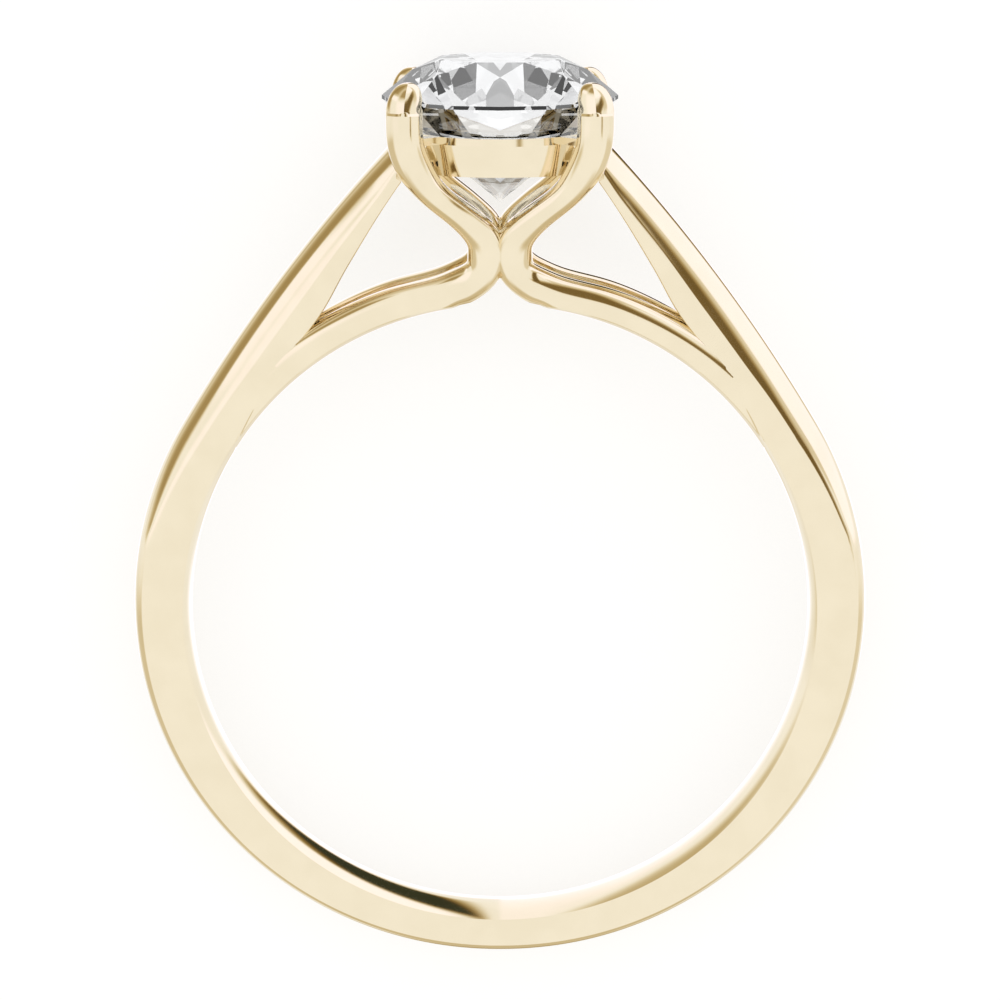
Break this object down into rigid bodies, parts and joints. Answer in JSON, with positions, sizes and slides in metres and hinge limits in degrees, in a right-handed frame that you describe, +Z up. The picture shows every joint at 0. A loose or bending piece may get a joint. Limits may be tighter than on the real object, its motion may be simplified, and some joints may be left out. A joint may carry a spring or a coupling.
{
  "type": "cathedral setting ring",
  "caption": "Gold finger ring with a domed comfort-fit shank and cathedral shoulders that rise to claws holding a round brilliant cut stone over crossed rails.",
  "frame": {"origin": "centre of the footprint, on the surface that the ring lies on", "axes": "+Z up from that surface, towards the ring's front face; +Y from the back of the shank towards the stone; +X across the finger hole. The ring lies on its side, so its finger hole's axis leans from +Z by the 5.2 degrees that the wide stone lifts the head"},
  "size_m": [0.0204, 0.0254, 0.0064],
  "materials": {
    "gold": "polished",
    "clear_stone": "polished, faceted"
  },
  "bodies": {
    "root": {"ring_mount": "gold", "stone": "clear_stone"}
  },
  "joints": []
}
